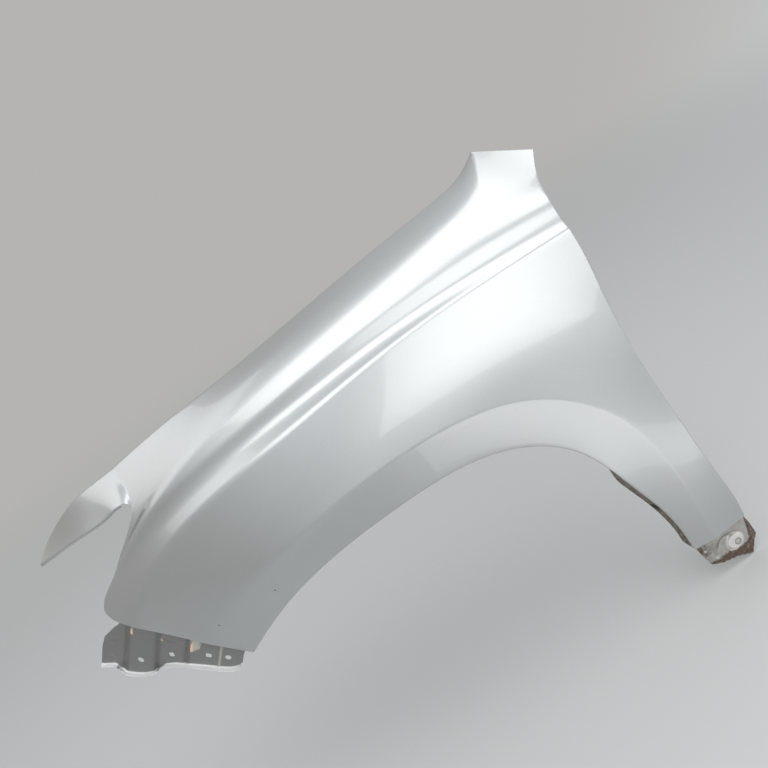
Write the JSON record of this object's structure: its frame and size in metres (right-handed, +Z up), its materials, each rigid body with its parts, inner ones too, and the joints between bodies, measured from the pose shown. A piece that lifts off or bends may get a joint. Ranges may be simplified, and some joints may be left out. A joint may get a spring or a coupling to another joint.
{
  "type": "car fender",
  "caption": "Left front car fender pressed from steel sheet, with flared wheel arch, headlamp notch, hood ledge and welded mounting brackets.",
  "frame": {"origin": "underside of the second bolt pad of the hood ledge, beside its bolt hole, where the pad seats on the car's body", "axes": "+X along the car towards its rear, +Y from the outer face towards the middle of the car, +Z up as fitted"},
  "size_m": [0.9634, 0.2682, 0.7875],
  "materials": {
    "silver_paint": "gloss",
    "bracket_paint": "satin",
    "dirty_bracket_paint": "satin",
    "inner_paint": "satin",
    "black_plastic": "matte"
  },
  "bodies": {
    "root": {"outer_panel": "silver_paint", "bumper_side_bracket": "bracket_paint", "rocker_bracket": "dirty_bracket_paint", "hinge_pillar_bracket": "inner_paint", "liner_clip": "black_plastic"}
  },
  "joints": []
}
